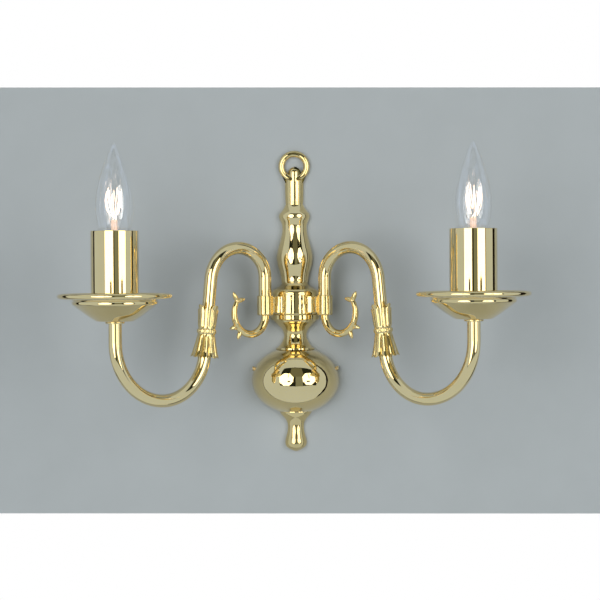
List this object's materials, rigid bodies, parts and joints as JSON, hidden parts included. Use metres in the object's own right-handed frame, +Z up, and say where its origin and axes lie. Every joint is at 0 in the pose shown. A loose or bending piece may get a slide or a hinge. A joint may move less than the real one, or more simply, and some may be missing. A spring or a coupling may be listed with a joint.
{
  "type": "double arm wall sconce",
  "caption": "Half round brass wall light: ringed vase body on a wall strap, bent tube arms with cast leaves, drip pans, lift-off candle sleeves and bayonet candle lamps.",
  "frame": {"origin": "midway between the two wall screw holes, on the wall plane, behind the half ball", "axes": "+Z up, +Y into the wall, +X to the right of someone facing the wall; the arms lie in -Y"},
  "size_m": [0.3838, 0.1685, 0.2612],
  "materials": {
    "polished_brass": "polished and lacquered",
    "cast_brass": "polished casting",
    "steel": "zinc plated",
    "bakelite": "moulded, dark",
    "terminal_plastic": "moulded, natural",
    "terminal_brass": "turned, plain",
    "clear_glass": "clear, blown",
    "stem_glass": "pressed glass",
    "filament": "hot wire",
    "wire_insulation": "flexible sleeving",
    "spring_steel": "bright wire"
  },
  "bodies": {
    "fixture": {"ring_stem": "cast_brass", "vase": "cast_brass", "arm_collar": "cast_brass", "lower_neck": "cast_brass", "half_ball": "polished_brass", "bottom_finial": "cast_brass", "tie_rod": "steel", "wall_bracket": "steel", "body_side_screws": "terminal_brass", "terminal_block": "terminal_plastic", "terminal_screws": "terminal_brass", "terminal_block_screw": "steel", "earth_screw": "terminal_brass", "left_arm_tube": "polished_brass", "left_arm_wires": "wire_insulation", "left_leaf": "cast_brass", "left_scroll": "cast_brass", "left_check_ring": "polished_brass", "left_drip_pan": "polished_brass", "left_nipple": "terminal_brass", "left_holder_base": "bakelite", "left_holder_barrel": "bakelite", "left_holder_insulator": "bakelite", "left_contact_springs": "spring_steel", "right_arm_tube": "polished_brass", "right_arm_wires": "wire_insulation", "right_leaf": "cast_brass", "right_scroll": "cast_brass", "right_check_ring": "polished_brass", "right_drip_pan": "polished_brass", "right_nipple": "terminal_brass", "right_holder_base": "bakelite", "right_holder_barrel": "bakelite", "right_holder_insulator": "bakelite", "right_contact_springs": "spring_steel"},
    "left_sleeve": {"left_candle_sleeve": "polished_brass"},
    "left_plungers": {"left_contact_plungers": "terminal_brass"},
    "left_lamp": {"left_lamp_glass": "clear_glass", "left_lamp_cap": "terminal_brass", "left_lamp_base": "bakelite", "left_lamp_contacts": "terminal_brass", "left_lamp_stem": "stem_glass", "left_lamp_filament": "filament"},
    "right_sleeve": {"right_candle_sleeve": "polished_brass"},
    "right_plungers": {"right_contact_plungers": "terminal_brass"},
    "right_lamp": {"right_lamp_glass": "clear_glass", "right_lamp_cap": "terminal_brass", "right_lamp_base": "bakelite", "right_lamp_contacts": "terminal_brass", "right_lamp_stem": "stem_glass", "right_lamp_filament": "filament"}
  },
  "joints": [
    {"name": "left_sleeve_lift", "type": "slide", "parent": "fixture", "child": "left_sleeve", "axis": [0, 0, 1], "range_m": [0, 0.145]},
    {"name": "left_lamp_press", "type": "slide", "parent": "fixture", "child": "left_plungers", "axis": [0, 0, -1], "range_m": [0, 0.002], "stiffness_N_per_m": 2000, "springref_m": -0.004, "deforming": ["left_contact_springs"]},
    {"name": "left_lamp_twist", "type": "hinge", "parent": "left_plungers", "child": "left_lamp", "pos_m": [-0.14486, -0.12155, 0.0905], "axis": [0, 0, 1], "range_deg": [0, 20]},
    {"name": "right_sleeve_lift", "type": "slide", "parent": "fixture", "child": "right_sleeve", "axis": [0, 0, 1], "range_m": [0, 0.145]},
    {"name": "right_lamp_press", "type": "slide", "parent": "fixture", "child": "right_plungers", "axis": [0, 0, -1], "range_m": [0, 0.002], "stiffness_N_per_m": 2000, "springref_m": -0.004, "deforming": ["right_contact_springs"]},
    {"name": "right_lamp_twist", "type": "hinge", "parent": "right_plungers", "child": "right_lamp", "pos_m": [0.14486, -0.12155, 0.0905], "axis": [0, 0, 1], "range_deg": [0, 20]}
  ]
}
